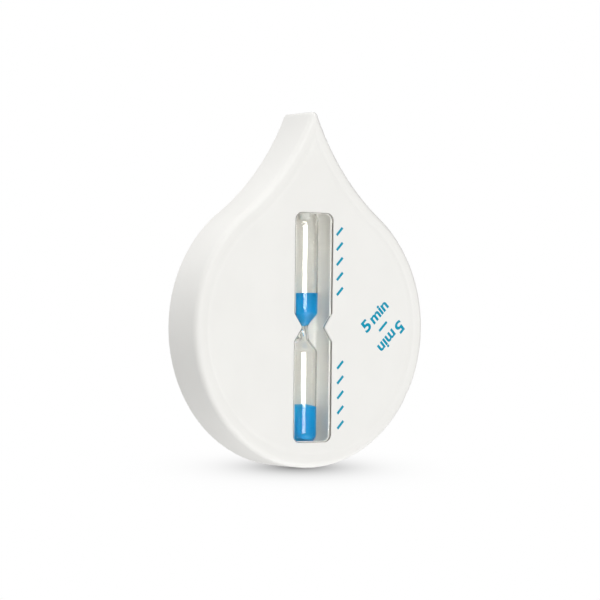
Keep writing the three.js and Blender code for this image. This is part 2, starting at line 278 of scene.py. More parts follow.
# Lengths along the vial
END_DROP = min(FRONT_WALL - PANE_THICKNESS, VIAL_END_RADIUS)
OPENING_HALF = VIAL_HALF - VIAL_END_RADIUS + math.sqrt(END_DROP * (2 * VIAL_END_RADIUS - END_DROP))
WINDOW_HALF = OPENING_HALF + LEDGE_WIDTH
TROUGH_HALF = WINDOW_HALF + TROUGH_MARGIN
POCKET_END = VIAL_HALF + PAD_THICKNESS + 2 * GLUE_GAP
CRADLE_HALF_LENGTH = POCKET_END + CRADLE_END_WALL
TROUGH_HALF_WIDTH = WINDOW_WIDTH / 2 + TROUGH_MARGIN
CRADLE_HALF_WIDTH = TROUGH_HALF_WIDTH + CRADLE_WALL
CRADLE_SCREW_X = CRADLE_HALF_WIDTH + SEAT_GAP + CRADLE_BOSS_RADIUS

# Drop outline
BODY_RADIUS = math.hypot(CRADLE_HALF_LENGTH, CRADLE_HALF_WIDTH) + CASE_MARGIN + SIDE_WALL
TIP_CENTRE = BODY_RADIUS + TIP_RISE - TIP_RADIUS
FLANK_TO_BODY = FLANK_RADIUS + BODY_RADIUS
FLANK_TO_TIP = FLANK_RADIUS + TIP_RADIUS
FLANK_Z = (FLANK_TO_BODY ** 2 - FLANK_TO_TIP ** 2 + TIP_CENTRE ** 2) / (2 * TIP_CENTRE)
FLANK_X = math.sqrt(FLANK_TO_BODY ** 2 - FLANK_Z ** 2)
BOSS_CIRCLE = BODY_RADIUS - SIDE_WALL - BOSS_TO_WALL - BOSS_RADIUS

# Camera, from the fit of the outline, measured from the centre of the face
CAMERA_TURN = math.radians(35.746)
CAMERA_TILT = math.radians(-0.421)
CAMERA_ROLL = math.radians(0.688)
CAMERA_DISTANCE = 791.6
CAMERA_ASIDE = -4.589
CAMERA_RAISED = 9.278
CAMERA_LENS = 140.6
CAMERA_SENSOR = 36

# Studio: the floor's painted shadow, the soft light as direction, focus and strength of each lobe, and the
# softbox
FLOOR_RADIUS = 900
SHADE_WIDTH = 15.6
SHADE_DEPTH = 35
SHADE_FALL = 1.4
SHADE_STRENGTH = 0.8
SKY_LOBES = (
    ((0, 0, -1), 3, 0.95),
    ((-1, 1, 1), 3, 2.03),
    ((0, 1, -1), 3, 0.49),
    ((0, -1, 1.6), 8, 2.1),
    ((-1, 0, 1.4), 8, 0.92),
    ((0, -1, -1.6), 8, 2.5),
    ((0, -1, 0.8), 8, 2.78),
    ((0, -1, -0.8), 8, 1.56),
    ((1, 0, -1), 8, 1.24),
)
BOX_HEIGHT = 175
BOX_RAISED = -13
BOX_DISTANCE = 1000
BOX_ASIDE = math.radians(-5.6)
BOX_WIDTH = 470
BOX_POWER = 13.5
LIGHT_BOUNCES = 32
LIGHT_CLAMP = 14


def arc(x, z, radius, start, end, steps):
    angles = [start + (end - start) * i / steps for i in range(steps + 1)]
    return [(x + radius * math.cos(a), z + radius * math.sin(a)) for a in angles]


def circle(x, z, radius, sides):
    return arc(x, z, radius, 0, 2 * math.pi, sides)[:-1]


# Drop outline moved in by an inset, always with the same number of points
def drop_outline(inset):
    tip = max(TIP_RADIUS - inset, SHARP_TIP_RADIUS)
    flank = FLANK_RADIUS + inset
    tip_z = FLANK_Z - math.sqrt((flank + tip) ** 2 - FLANK_X ** 2)
    flank_start = math.atan2(FLANK_Z, FLANK_X)
    flank_end = math.atan2(FLANK_Z - tip_z, FLANK_X)
    right = arc(0, 0, BODY_RADIUS - inset, -math.pi / 2, flank_start, BODY_STEPS)
    right += arc(FLANK_X, FLANK_Z, flank, math.pi + flank_start, math.pi + flank_end, FLANK_STEPS)[1:]
    right += arc(0, tip_z, tip, flank_end, math.pi / 2, TIP_STEPS)[1:]
    left = [(-x, z) for x, z in reversed(right[1:-1])]
    return right + left


# Hourglass outline of the window, moved in by its own inset at the sides, the ends and the waist
def window_outline(inset, end_inset=None, waist_inset=None):
    slope = math.atan2((WINDOW_WIDTH - WAIST_WIDTH) / 2, NOTCH_HEIGHT / 2)
    half_width = WINDOW_WIDTH / 2 - inset
    half_height = WINDOW_HALF - (inset if end_inset is None else end_inset)
    corner = max(WINDOW_CORNER - inset, LEDGE_WIDTH)
    at_waist = inset if waist_inset is None else waist_inset
    waist = WAIST_WIDTH / 2 - at_waist / math.cos(slope)
    notch = (half_width - waist) / math.tan(slope)
    vertex = NOTCH_RADIUS + at_waist
    notch_x = waist + vertex / math.cos(slope)
    start = [(half_width, notch), (half_width - GLUE_FADE * math.tan(slope), notch - GLUE_FADE)]
    right = arc(half_width - corner, corner - half_height, corner, -math.pi / 2, 0, CORNER_STEPS)
    right += [(x, -z) for x, z in start]
    right += arc(notch_x, 0, vertex, math.pi + slope, math.pi - slope, CORNER_STEPS)
    right += reversed(start)
    right += arc(half_width - corner, half_height - corner, corner, 0, math.pi / 2, CORNER_STEPS)
    return right + [(-x, z) for x, z in reversed(right)]


def inside(point, outline):
    x, z = point
    odd = False
    for (ax, az), (bx, bz) in zip(outline, outline[1:] + outline[:1]):
        if (az > z) != (bz > z) and x < ax + (bx - ax) * (z - az) / (bz - az):
            odd = not odd
    return odd


def at_depth(outline, depth):
    return [(x, FACE_Y + depth, z) for x, z in outline]


# Quarter round from one flat to another, as pairs of how far in and how far down
def rounding(radius, steps):
    angles = [math.pi / 2 * i / steps for i in range(steps + 1)]
    return [(radius * (1 - math.sin(a)), radius * (1 - math.cos(a))) for a in angles]


class Skin:
    """Faces gathered in millimetres, then welded into one closed mesh."""

    def __init__(self):
        self.points = []
        self.faces = []

    def add(self, points):
        start = len(self.points)
        self.points.extend(points)
        return list(range(start, len(self.points)))

    def band(self, loops):
        """Quads between neighbouring closed loops of equal count."""
        rings = [self.add(loop) for loop in loops]
        for lower, upper in zip(rings, rings[1:]):
            for i in range(len(lower)):
                j = (i + 1) % len(lower)
                self.faces.append((lower[i], lower[j], upper[j], upper[i]))

    def flat(self, outline, holes, depth):
        """Flat region at a depth, with even triangles and with the holes left out."""
        loops = [outline, *holes]
        points = []
        edges = []
        for loop in loops:
            start = len(points)
            points += loop
            edges += [(start + i, start + (i + 1) % len(loop)) for i in range(len(loop))]
        points += grid_points(outline, holes)
        corners = [Vector(p) for p in points]
        made = delaunay_2d_cdt(corners, edges, [], INNER_TRIANGLES, FLAT_WELD, False)
        flat_points, _, triangles = made[:3]
        ring = self.add([(p.x, FACE_Y + depth, p.y) for p in flat_points])
        for triangle in triangles:
            middle = sum((flat_points[i] for i in triangle), Vector((0, 0))) / len(triangle)
            if inside(middle, outline) and not any(inside(middle, hole) for hole in holes):
                self.faces.append(tuple(ring[i] for i in triangle))

    def lathe(self, profile, sides, place):
        """Turned surface from points of radius and height; a zero radius makes a pole."""
        rings = []
        for radius, height in profile:
            if radius == 0:
                rings.append(self.add([place(0, 0, height)]) * sides)
            else:
                rings.append(self.add([place(x, y, height) for x, y in circle(0, 0, radius, sides)]))
        for lower, upper in zip(rings, rings[1:]):
            for i in range(sides):
                j = (i + 1) % sides
                face = tuple(dict.fromkeys((lower[i], lower[j], upper[j], upper[i])))
                if len(face) > 2:
                    self.faces.append(face)

    def make(self, name, look, body, slot, *nodes):
        """Object that rides on a body and stands for the nodes."""
        mesh = bpy.data.meshes.new(name)
        mesh.from_pydata([Vector(p) * MM for p in self.points], [], self.faces)
        welded = bmesh.new()
        welded.from_mesh(mesh)
        bmesh.ops.remove_doubles(welded, verts=welded.verts, dist=WELD)
        bmesh.ops.recalc_face_normals(welded, faces=welded.faces)
        welded.to_mesh(mesh)
        welded.free()
        mesh.shade_smooth()
        mesh.set_sharp_from_angle(angle=SHARP_EDGE)
        mesh.materials.append(look)
        piece = bpy.data.objects.new(name, mesh)
        bpy.context.scene.collection.objects.link(piece)
        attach(piece, body)
        if nodes:
            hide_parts(*nodes)
        return piece


# Points of an even grid inside a flat region, clear of its edges
def grid_points(outline, holes):
    reach = math.ceil(max(max(abs(x), abs(z)) for x, z in outline) / GRID_STEP)
    ticks = [GRID_STEP * i for i in range(-reach, reach + 1)]
    edges = [p for loop in (outline, *holes) for p in loop]
    found = []
    for x in ticks:
        for z in ticks:
            clear = all((x - ex) ** 2 + (z - ez) ** 2 > GRID_MARGIN ** 2 for ex, ez in edges)
            if clear and inside((x, z), outline) and not any(inside((x, z), hole) for hole in holes):
                found.append((x, z))
    return found


# Places of a turned piece's own x, y and height: along the vial, and along the depth at a point of the face
def on_vial(x, y, height):
    return (x, FACE_Y + AXIS_DEPTH + y, height)


def in_depth(centre_x, centre_z):
    def place(x, y, height):
        return (centre_x + x, FACE_Y + height, centre_z + y)

    return place


def boss_places():
    angles = [math.radians(degrees) for degrees in BOSS_ANGLES]
    return [(BOSS_CIRCLE * math.cos(a), BOSS_CIRCLE * math.sin(a)) for a in angles]


# Materials
def new_look(name):
    look = bpy.data.materials.new(name)
    look.use_nodes = True
    tree = look.node_tree
    return look, tree, tree.nodes["Principled BSDF"]


def object_noise(tree, scale, detail):
    place = tree.nodes.new("ShaderNodeTexCoord")
    texture = tree.nodes.new("ShaderNodeTexNoise")
    texture.inputs["Scale"].default_value = scale
    texture.inputs["Detail"].default_value = detail
    tree.links.new(place.outputs["Object"], texture.inputs["Vector"])
    return texture.outputs["Fac"]


def object_cells(tree, scale):
    place = tree.nodes.new("ShaderNodeTexCoord")
    cells = tree.nodes.new("ShaderNodeTexVoronoi")
    cells.inputs["Scale"].default_value = scale
    tree.links.new(place.outputs["Object"], cells.inputs["Vector"])
    return cells


def math_node(tree, operation, first, second):
    node = tree.nodes.new("ShaderNodeMath")
    node.operation = operation
    for socket, value in zip(node.inputs, (first, second)):
        if isinstance(value, (int, float)):
            socket.default_value = value
        else:
            tree.links.new(value, socket)
    return node.outputs["Value"]


def vary_colour(tree, principled, factor, shades, spread=NOISE_RANGE):
    ramp = tree.nodes.new("ShaderNodeValToRGB")
    for element, position, shade in zip(ramp.color_ramp.elements, spread, shades):
        element.position = position
        element.color = (*shade, 1)
    tree.links.new(factor, ramp.inputs["Fac"])
    tree.links.new(ramp.outputs["Color"], principled.inputs["Base Color"])


def vary_roughness(tree, principled, factor, limits):
    spread = tree.nodes.new("ShaderNodeMapRange")
    names = ("From Min", "From Max", "To Min", "To Max")
    for name, value in zip(names, (*NOISE_RANGE, *limits)):
        spread.inputs[name].default_value = value
    tree.links.new(factor, spread.inputs["Value"])
    tree.links.new(spread.outputs["Result"], principled.inputs["Roughness"])


def add_bumps(tree, principled, factor, strength, height):
    bump = tree.nodes.new("ShaderNodeBump")
    bump.inputs["Strength"].default_value = strength
    bump.inputs["Distance"].default_value = height * MM
    tree.links.new(factor, bump.inputs["Height"])
    tree.links.new(bump.outputs["Normal"], principled.inputs["Normal"])


# White moulded plastic: faint cloudiness in the colour and a fine satin grain
def white_plastic(name, shades):
    look, tree, principled = new_look(name)
    vary_colour(tree, principled, object_noise(tree, *PLASTIC_CLOUD), shades)
    grain = object_noise(tree, *PLASTIC_GRAIN)
    vary_roughness(tree, principled, grain, PLASTIC_ROUGHNESS)
    add_bumps(tree, principled, grain, *PLASTIC_BUMP)
    principled.inputs["IOR"].default_value = PLASTIC_IOR
    return look


def case_plastic():
    return white_plastic("case_plastic", CASE_WHITE)


# The cradle is the case's white plastic made darker and warmer, as painted shade in the window's recess
def cradle_plastic():
    return white_plastic("cradle_plastic", CRADLE_WHITE_PAINTED_SHADE)


# Clear and polished, with a tint that varies very little
def clear_look(name, cloud, tints, ior):
    look, tree, principled = new_look(name)
    vary_colour(tree, principled, object_noise(tree, *cloud), tints)
    principled.inputs["Transmission Weight"].default_value = 1
    principled.inputs["Roughness"].default_value = 0
    principled.inputs["IOR"].default_value = ior
    return look


def clear_plastic():
    return clear_look("clear_plastic", PANE_CLOUD, PANE_TINT, PANE_IOR)


def vial_glass():
    return clear_look("vial_glass", GLASS_CLOUD, GLASS_TINT, GLASS_IOR)


# Glue coloured dark brown as painted shade of the gap round the pane
def glue_with_painted_shade():
    look, tree, principled = new_look("pane_glue")
    cloud = object_noise(tree, *GLUE_CLOUD)
    vary_colour(tree, principled, cloud, GLUE_BROWN_PAINTED_SHADE)
    vary_roughness(tree, principled, cloud, GLUE_ROUGHNESS)
    return look


# Dyed grains: each grain has its own shade
def blue_sand():
    look, tree, principled = new_look("blue_sand")
    grains = object_cells(tree, SAND_GRAIN_SCALE)
    own = tree.nodes.new("ShaderNodeSeparateColor")
    tree.links.new(grains.outputs["Color"], own.inputs["Color"])
    vary_colour(tree, principled, own.outputs["Red"], SAND_BLUE, SAND_RANGE)
    vary_roughness(tree, principled, own.outputs["Green"], SAND_ROUGHNESS)
    principled.inputs["Specular IOR Level"].default_value = SAND_GLOSS
    add_bumps(tree, principled, grains.outputs["Distance"], *SAND_BUMP)
    return look


def stopper_plastic():
    look, tree, principled = new_look("stopper_plastic")
    cloud = object_noise(tree, *STOPPER_CLOUD)
    vary_colour(tree, principled, cloud, STOPPER_WHITE)
    vary_roughness(tree, principled, cloud, STOPPER_ROUGHNESS)
    add_bumps(tree, principled, cloud, *STOPPER_BUMP)
    return look


# Closed-cell foam: small round cells in the bump and the shade
def pad_foam():
    look, tree, principled = new_look("pad_foam")
    cells = object_cells(tree, FOAM_CELL_SCALE)
    vary_colour(tree, principled, cells.outputs["Distance"], FOAM_WHITE, FOAM_RANGE)
    principled.inputs["Roughness"].default_value = FOAM_ROUGHNESS
    add_bumps(tree, principled, cells.outputs["Distance"], *FOAM_BUMP)
    return look


def cup_vinyl():
    look, tree, principled = new_look("cup_vinyl")
    principled.inputs["Base Color"].default_value = VINYL_TINT
    principled.inputs["Transmission Weight"].default_value = VINYL_CLEARNESS
    principled.inputs["IOR"].default_value = VINYL_IOR
    haze = object_noise(tree, *VINYL_HAZE)
    vary_roughness(tree, principled, haze, VINYL_ROUGHNESS)
    add_bumps(tree, principled, haze, *VINYL_BUMP)
    return look


def screw_steel():
    look, tree, principled = new_look("screw_steel")
    scuff = object_noise(tree, *STEEL_SCUFF)
    vary_colour(tree, principled, scuff, STEEL_GREY)
    principled.inputs["Metallic"].default_value = 1
    vary_roughness(tree, principled, scuff, STEEL_ROUGHNESS)
    add_bumps(tree, principled, scuff, *STEEL_BUMP)
    return look


def blue_ink():
    look, tree, principled = new_look("blue_ink")
    cover = object_noise(tree, *INK_COVER)
    vary_colour(tree, principled, cover, INK_BLUE)
    vary_roughness(tree, principled, cover, INK_ROUGHNESS)
    principled.inputs["Specular IOR Level"].default_value = INK_GLOSS
    return look


# Depth of the soft border groove, by how far in from the outline
def groove_depth(inset):
    across = (inset - GROOVE_INSET) / (GROOVE_WIDTH / 2)
    return GROOVE_DEPTH * (1 + math.cos(math.pi * max(-1, min(1, across)))) / 2


# Rings of the case from the edge of its flat face to the rear rim
def case_rings():
    inner = GROOVE_INSET + GROOVE_WIDTH / 2
    insets = [inner + SUPPORT] + [inner - GROOVE_WIDTH * i / GROOVE_STEPS for i in range(GROOVE_STEPS + 1)]
    rings = [(inset, groove_depth(inset)) for inset in insets]
    rings += rounding(EDGE_RADIUS, FILLET_STEPS)
    rear = [(inset, CASE_DEPTH - down) for inset, down in rounding(REAR_EDGE, FINE_EDGE_STEPS)]
    rings += reversed(rear)
    rings += [(RIM_WALL, CASE_DEPTH), (RIM_WALL, COVER_SEAT)]
    rings += [(SIDE_WALL, COVER_SEAT), (SIDE_WALL, FRONT_WALL)]
    return rings


# Rings of the window from the flat face over its soft edge to the ledge and the back of the front wall
def window_rings():
    rings = [(window_outline(-WINDOW_EDGE - SUPPORT), 0)]
    rings += [(window_outline(-over), down) for over, down in rounding(WINDOW_EDGE, EDGE_STEPS)]
    pocket = PANE_THICKNESS + GLUE_GAP
    ledge = window_outline(SIDE_LEDGE, LEDGE_WIDTH, WAIST_LEDGE)
    return rings + [(window_outline(0), pocket), (ledge, pocket), (ledge, FRONT_WALL)]


# Screw boss: outer wall, top, pilot hole and its bottom
def add_boss(skin, x, z, radius, top, bottom):
    pilot = SCREW_RADIUS + SCREW_GAP
    wall = circle(x, z, radius, SCREW_SIDES)
    hole = circle(x, z, pilot, SCREW_SIDES)
    loops = [(wall, FRONT_WALL), (wall, top), (hole, top), (hole, bottom)]
    skin.band([at_depth(loop, depth) for loop, depth in loops])
    skin.flat(hole, [], bottom)
    return wall


def front_shell(look):
    skin = Skin()
    case = case_rings()
    window = window_rings()
    skin.band([at_depth(drop_outline(inset), depth) for inset, depth in case])
    skin.band([at_depth(outline, depth) for outline, depth in window])
    skin.flat(drop_outline(case[0][0]), [window[0][0]], 0)
    feet = []
    for x, z in boss_places():
        feet.append(add_boss(skin, x, z, BOSS_RADIUS, COVER_SEAT, CASE_DEPTH - SCREW_LENGTH - SEAT_GAP))
    ear_front = CRADLE_BACK - EAR_THICKNESS
    for x in (-CRADLE_SCREW_X, CRADLE_SCREW_X):
        bottom = CRADLE_BACK - CRADLE_SCREW_LENGTH - SEAT_GAP
        feet.append(add_boss(skin, x, 0, CRADLE_BOSS_RADIUS, ear_front - SEAT_GAP, bottom))
    skin.flat(drop_outline(SIDE_WALL), [window[-1][0], *feet], FRONT_WALL)
    return skin.make("front_shell_skin", look, TIMER, "case_plastic", "front_shell")


# Outline of the pane, which lies a little to the left in its pocket
def pane_outline(inset):
    return [(x + PANE_ASIDE, z) for x, z in window_outline(PANE_GAP + inset)]


def window_pane(look):
    skin = Skin()
    edge = rounding(PANE_EDGE, FINE_EDGE_STEPS)
    rings = [(pane_outline(over), down) for over, down in edge]
    rings += [(pane_outline(over), PANE_THICKNESS - down) for over, down in reversed(edge)]
    skin.band([at_depth(outline, depth) for outline, depth in rings])
    for outline, depth in (rings[0], rings[-1]):
        skin.flat(outline, [], depth)
    return skin.make("window_pane_clear", look, TIMER, "clear_plastic", "window_pane")


# Bead of glue in the gap round the pane, which fills the gap except at the waist; a real glue bead whose dark
# brown is painted shade of that gap
def pane_glue(look):
    outer = window_outline(-GLUE_BITE)
    inner = pane_outline(GLUE_BITE)
    bottom = PANE_THICKNESS + GLUE_GAP / 2
    waist = NOTCH_HEIGHT / 2 - GLUE_FADE / 2

    def top(outline):
        depths = [PANE_THICKNESS if abs(z) < waist else GLUE_SUNK for x, z in outline]
        return [(x, FACE_Y + depth, z) for (x, z), depth in zip(outline, depths)]

    skin = Skin()
    skin.band([top(outer), at_depth(outer, bottom), at_depth(inner, bottom), top(inner), top(outer)])
    return skin.make("pane_glue_bead", look, TIMER, "pane_glue")


# Rectangle with rounded corners
def rounded_box(half_width, half_height, corner):
    outline = []
    for quarter, (side_x, side_z) in enumerate(((1, -1), (1, 1), (-1, 1), (-1, -1))):
        start = (quarter - 1) * math.pi / 2
        centre = (side_x * (half_width - corner), side_z * (half_height - corner))
        outline += arc(*centre, corner, start, start + math.pi / 2, CORNER_STEPS)
    return outline


# Trough with a narrow pocket at each end, moved in by an inset
def trough_outline(inset):
    wide = TROUGH_HALF_WIDTH - inset
    long = TROUGH_HALF - inset
    narrow = VIAL_RADIUS + SEAT_GAP - inset
    end = POCKET_END - inset
    corner = CRADLE_CORNER
    lower = arc(narrow - corner, corner - end, corner, -math.pi / 2, 0, CORNER_STEPS)
    lower.append((narrow, -long))
    lower += arc(wide - corner, corner - long, corner, -math.pi / 2, 0, CORNER_STEPS)
    right = lower + [(x, -z) for x, z in reversed(lower)]
    return right + [(-x, z) for x, z in reversed(right)]


# The cradle's outline with an insert on its right side, and the same insert turned to its left side
def cradle_outline(insert):
    box = rounded_box(CRADLE_HALF_WIDTH, CRADLE_HALF_LENGTH, CRADLE_CORNER)
    quarter = len(box) // 4
    turned = [(-x, -z) for x, z in insert]
    return box[:quarter] + insert + box[quarter:3 * quarter] + turned + box[3 * quarter:]


def vial_cradle(look):
    skin = Skin()
    fillet = reversed(rounding(TROUGH_FILLET, CORNER_STEPS))
    trough = [(0, CRADLE_FRONT)]
    trough += [(over, CRADLE_FLOOR_DEPTH - down) for over, down in fillet]
    skin.band([at_depth(trough_outline(inset), depth) for inset, depth in trough])
    skin.flat(trough_outline(TROUGH_FILLET), [], CRADLE_FLOOR_DEPTH)
    radius = CRADLE_BOSS_RADIUS + EAR_MARGIN
    ear = arc(CRADLE_SCREW_X, 0, radius, -math.pi / 2, math.pi / 2, SCREW_SIDES // 2)
    ear = [(CRADLE_HALF_WIDTH, -radius), *ear, (CRADLE_HALF_WIDTH, radius)]
    plain = cradle_outline([ear[0], ear[-1]])
    eared = cradle_outline(ear)
    ear_front = CRADLE_BACK - EAR_THICKNESS
    skin.flat(plain, [trough_outline(0)], CRADLE_FRONT)
    skin.band([at_depth(plain, CRADLE_FRONT), at_depth(plain, ear_front)])
    skin.band([at_depth(eared, ear_front), at_depth(eared, CRADLE_BACK)])
    holes = [circle(x, 0, SCREW_RADIUS + SCREW_GAP, SCREW_SIDES) for x in (CRADLE_SCREW_X, -CRADLE_SCREW_X)]
    for side, hole in zip((1, -1), holes):
        skin.band([at_depth(hole, ear_front), at_depth(hole, CRADLE_BACK)])
        skin.flat([(side * x, side * z) for x, z in ear], [hole], ear_front)
    skin.flat(eared, holes, CRADLE_BACK)
    return skin.make("vial_cradle_tray", look, TIMER, "case_plastic", "vial_cradle")


# Radius of the waist and shoulder at a height, between the neck and the bulb
def shoulder_radius(height, neck, bulb):
    t = max(0, min(1, (abs(height) - NECK_HALF) / (SHOULDER - NECK_HALF)))
    return neck + (bulb - neck) * (t + t * t * (3 - 2 * t)) / 2


def shoulder_profile(neck, bulb, steps, drop):
    heights = [NECK_HALF + (SHOULDER - NECK_HALF) * i / steps for i in range(steps + 1)]
    return [(shoulder_radius(z, neck, bulb), z + drop) for z in heights]


# Half of a double bulb, from the waist to its end, which stops at a radius
def bulb_profile(neck, bulb, half, end_radius, stop, drop):
    turn = math.acos((stop - (bulb - end_radius)) / end_radius) if stop else math.pi / 2
    end = arc(bulb - end_radius, half - end_radius, end_radius, 0, turn, CORNER_STEPS)
    straight = [(bulb, SHOULDER + drop + SUPPORT), (bulb, half - end_radius - SUPPORT)]
    pole = [] if stop else [(0, half)]
    return shoulder_profile(neck, bulb, CURVE_STEPS, drop) + straight + end + pole


# Closed wall of the double bulb, open at the filling hole
def glass_vial(look):
    outer = (NECK_RADIUS, VIAL_RADIUS, VIAL_HALF, VIAL_END_RADIUS)
    inner = (NECK_BORE_RADIUS, BULB_RADIUS, BULB_HALF, BULB_END_RADIUS)
    profile = [(r, -z) for r, z in reversed(bulb_profile(*outer, 0, NECK_DROP))]
    profile += bulb_profile(*outer, FILL_HOLE_RADIUS, 0)
    profile += reversed(bulb_profile(*inner, FILL_HOLE_RADIUS, 0))
    profile += [(r, -z) for r, z in bulb_profile(*inner, 0, NECK_DROP)]
    skin = Skin()
    skin.lathe(profile, ROUND_SIDES, on_vial)
    return skin.make("glass_vial_blown", look, TIMER, "vial_glass", "glass_vial")


# Profile with each sharp corner turned into a short curve
def softened(profile, radius):
    result = [profile[0]]
    for before, corner, after in zip(profile, profile[1:], profile[2:]):
        here = Vector(corner)
        back = Vector(before) - here
        ahead = Vector(after) - here
        if back.angle(-ahead) < SHARP_EDGE:
            result.append(corner)
            continue
        start = here + back.normalized() * min(radius, back.length / 2)
        end = here + ahead.normalized() * min(radius, ahead.length / 2)
        for i in range(SOFT_STEPS + 1):
            t = i / SOFT_STEPS
            point = start * (1 - t) ** 2 + here * 2 * t * (1 - t) + end * t * t
            result.append(tuple(point))
    return result + [profile[-1]]


def vial_stopper(look):
    radius = FILL_HOLE_RADIUS - GLUE_GAP
    bottom = VIAL_HALF - STOPPER_LENGTH
    profile = [(0, bottom), (radius, bottom), (radius, VIAL_HALF), (0, VIAL_HALF)]
    skin = Skin()
    skin.lathe(softened(profile, STOPPER_EDGE), SCREW_SIDES, on_vial)
    return skin.make("vial_stopper_plug", look, TIMER, "stopper_plastic", "vial_stopper")


def end_pad(look, side, node):
    radius = AXIS_DEPTH - FRONT_WALL - SEAT_GAP
    near = side * (VIAL_HALF + GLUE_GAP)
    far = side * (VIAL_HALF + GLUE_GAP + PAD_THICKNESS)
    skin = Skin()
    skin.lathe(softened([(0, near), (radius, near), (radius, far), (0, far)], PAD_EDGE), SCREW_SIDES, on_vial)
    return skin.make(node + "_foam", look, TIMER, "pad_foam", node)


# Straight run of profile points about a grain apart
def grain_run(start, end):
    steps = max(1, round(math.dist(start, end) / GRAIN_STEP))
    return [tuple(Vector(start).lerp(Vector(end), i / steps)) for i in range(steps + 1)]


# Sand heap: smooth where it lies on the glass, and with every grain at its own height on top
def sand_heap(look, wall, top, node):
    draw = random.Random(GRAIN_SEED)
    rim = wall[-1][0]

    def grain(x, y, height):
        loose = GRAIN_PROUD if math.hypot(x, y) < rim - GRAIN_PROUD else 0
        return on_vial(x, y, height + draw.uniform(-loose, loose))

    skin = Skin()
    skin.lathe(wall, SAND_SIDES, on_vial)
    skin.lathe([wall[-1], *top], SAND_SIDES, grain)
    return skin.make(node + "_grains", look, TIMER, "blue_sand", node)


def sand_upper(look):
    funnel = [(r - SAND_GAP, z) for r, z in shoulder_profile(NECK_BORE_RADIUS, BULB_RADIUS, CURVE_STEPS, 0)]
    rim = (BULB_RADIUS - SAND_GAP, UPPER_SAND_LEVEL)
    run = [(0, -NECK_DROP), (SAND_RUN_RADIUS, -NECK_DROP), (SAND_RUN_RADIUS, NECK_HALF)]
    wall = [*run, *funnel, rim]
    top = grain_run(rim, (0, UPPER_SAND_LEVEL - UPPER_SAND_DIP))[1:]
    return sand_heap(look, wall, top, "sand_upper")


def sand_lower(look):
    radius = BULB_RADIUS - SAND_GAP
    floor = SAND_GAP - BULB_HALF
    corner = BULB_END_RADIUS
    end = arc(radius - corner, floor + corner, corner, -math.pi / 2, 0, CORNER_STEPS)
    level = floor + LOWER_SAND_DEPTH
    wall = [(0, floor), *end, (radius, level)]
    top = []
    for i in range(1, CURVE_STEPS + 1):
        inward = i / CURVE_STEPS
        top.append((radius * (1 - inward), level + LOWER_SAND_DOME * math.sin(math.pi / 2 * inward)))
    return sand_heap(look, wall, top, "sand_lower")


# Plate in the rim, with a lip inside the wall, a collar round the swivel head and countersunk holes
def rear_cover(look):
    skin = Skin()
    plate = RIM_WALL + COVER_GAP
    lip = SIDE_WALL + SEAT_GAP
    rings = [(plate + over, CASE_DEPTH - down) for over, down in rounding(COVER_EDGE, EDGE_STEPS)]
    rings.insert(0, (plate + COVER_EDGE + SUPPORT, CASE_DEPTH))
    rings += [(plate, COVER_INNER), (lip, COVER_INNER), (lip, COVER_INNER - LIP_HEIGHT)]
    rings += [(lip + LIP_WIDTH, COVER_INNER - LIP_HEIGHT), (lip + LIP_WIDTH, COVER_INNER)]
    skin.band([at_depth(drop_outline(inset), depth) for inset, depth in rings])
    pocket = CUP_HEAD_RADIUS + RUNNING_GAP
    neck = CUP_NECK_RADIUS + RUNNING_GAP
    turns = [(pocket + COLLAR_WALL, COVER_INNER), (pocket + COLLAR_WALL, HEAD_FRONT), (pocket, HEAD_FRONT)]
    turns += [(pocket, COVER_INNER), (neck, COVER_INNER), (neck, CASE_DEPTH)]
    skin.band([at_depth(circle(0, 0, radius, ROUND_SIDES), depth) for radius, depth in turns])
    shank = SCREW_RADIUS + SCREW_GAP
    head = SCREW_HEAD_RADIUS + SCREW_GAP
    sink = [(shank, COVER_INNER), (shank, CASE_DEPTH - SCREW_HEAD_HEIGHT), (head, CASE_DEPTH)]
    for x, z in boss_places():
        skin.band([at_depth(circle(x, z, radius, SCREW_SIDES), depth) for radius, depth in sink])
    wide = [circle(x, z, head, SCREW_SIDES) for x, z in boss_places()]
    slim = [circle(x, z, shank, SCREW_SIDES) for x, z in boss_places()]
    skin.flat(drop_outline(rings[0][0]), [circle(0, 0, neck, ROUND_SIDES), *wide], CASE_DEPTH)
    collar = circle(0, 0, pocket + COLLAR_WALL, ROUND_SIDES)
    skin.flat(drop_outline(lip + LIP_WIDTH), [collar, *slim], COVER_INNER)
    return skin.make("rear_cover_plate", look, TIMER, "case_plastic", "rear_cover")


# Soft cup: flat lip on the wall, hollow dome, hub, neck and mushroom head
def suction_cup(look):
    lip_inner = CUP_RADIUS - CUP_LIP_WIDTH
    dome_height = CUP_HEIGHT - CUP_HUB_HEIGHT - CUP_LIP_THICKNESS
    profile = []
    for i in range(CURVE_STEPS + 1):
        out = i / CURVE_STEPS
        profile.append((lip_inner * out, WALL_DEPTH - CUP_HOLLOW_DEPTH * (1 - out ** CUP_HOLLOW_FULLNESS)))
    profile.append((CUP_RADIUS, WALL_DEPTH))
    for i in range(CURVE_STEPS + 1):
        inward = i / CURVE_STEPS
        radius = CUP_RADIUS + (CUP_HUB_RADIUS - CUP_RADIUS) * inward
        height = dome_height * (1 - (1 - inward) ** CUP_DOME_FULLNESS)
        profile.append((radius, WALL_DEPTH - CUP_LIP_THICKNESS - height))
    head_back = HEAD_FRONT + CUP_HEAD_THICKNESS
    profile += [(CUP_HUB_RADIUS, CASE_DEPTH + RUNNING_GAP), (CUP_NECK_RADIUS, CASE_DEPTH + RUNNING_GAP)]
    profile += [(CUP_NECK_RADIUS, head_back), (CUP_HEAD_RADIUS, head_back)]
    profile.append((CUP_HEAD_RADIUS, HEAD_FRONT + CUP_HEAD_CHAMFER))
    profile += [(CUP_HEAD_RADIUS - CUP_HEAD_CHAMFER, HEAD_FRONT), (0, HEAD_FRONT)]
    skin = Skin()
    skin.lathe(softened(profile, CUP_ROUND), ROUND_SIDES, in_depth(0, 0))
    return skin.make("suction_cup_soft", look, CUP, "cup_vinyl", "suction_cup")


